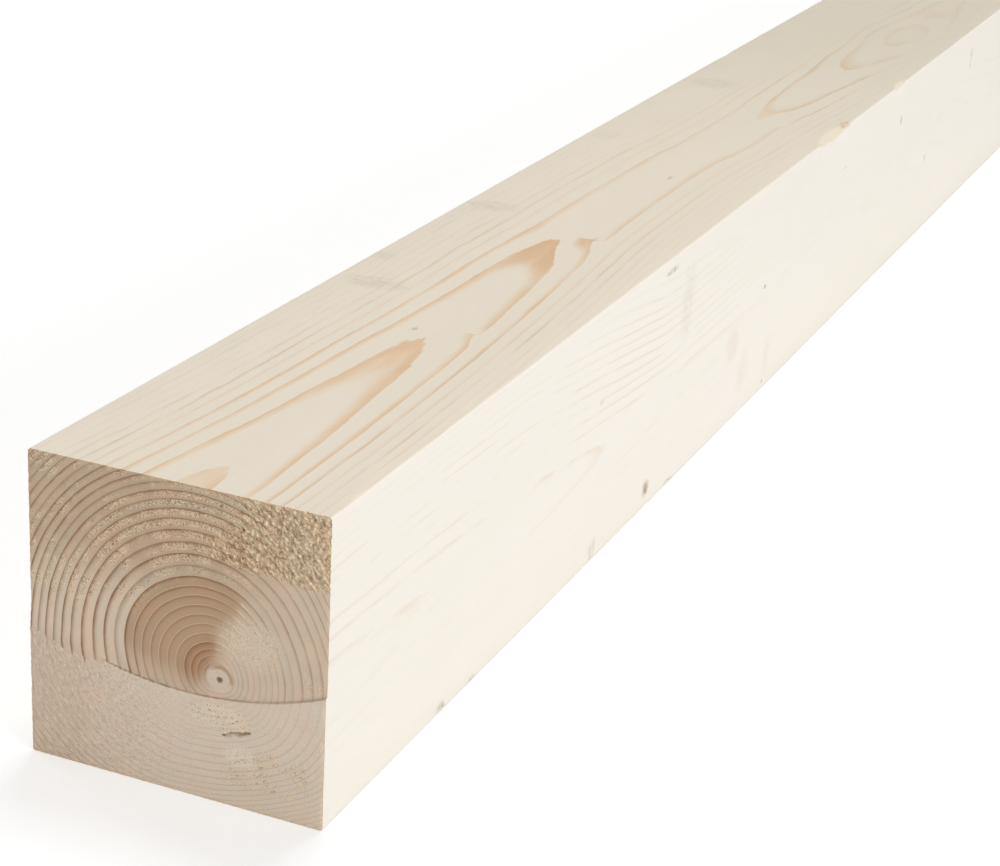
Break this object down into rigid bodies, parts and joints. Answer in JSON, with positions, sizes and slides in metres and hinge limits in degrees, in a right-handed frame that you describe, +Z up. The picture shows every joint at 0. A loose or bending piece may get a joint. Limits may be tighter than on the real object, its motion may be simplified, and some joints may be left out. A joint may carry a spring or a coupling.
{
  "type": "square timber post",
  "caption": "Square planed softwood post with a two-pass saw-cut end, eased long edges and a chipped edge.",
  "frame": {"origin": "middle of the bottom face, which lies on the ground", "axes": "+Y along the length, away from the two-pass sawn end; +X to the right, towards the chipped edge, when looking at that end; +Z up"},
  "size_m": [0.1, 2.4, 0.1],
  "materials": {
    "planed_softwood": "matte"
  },
  "bodies": {
    "root": {"timber_post": "planed_softwood"}
  },
  "joints": []
}
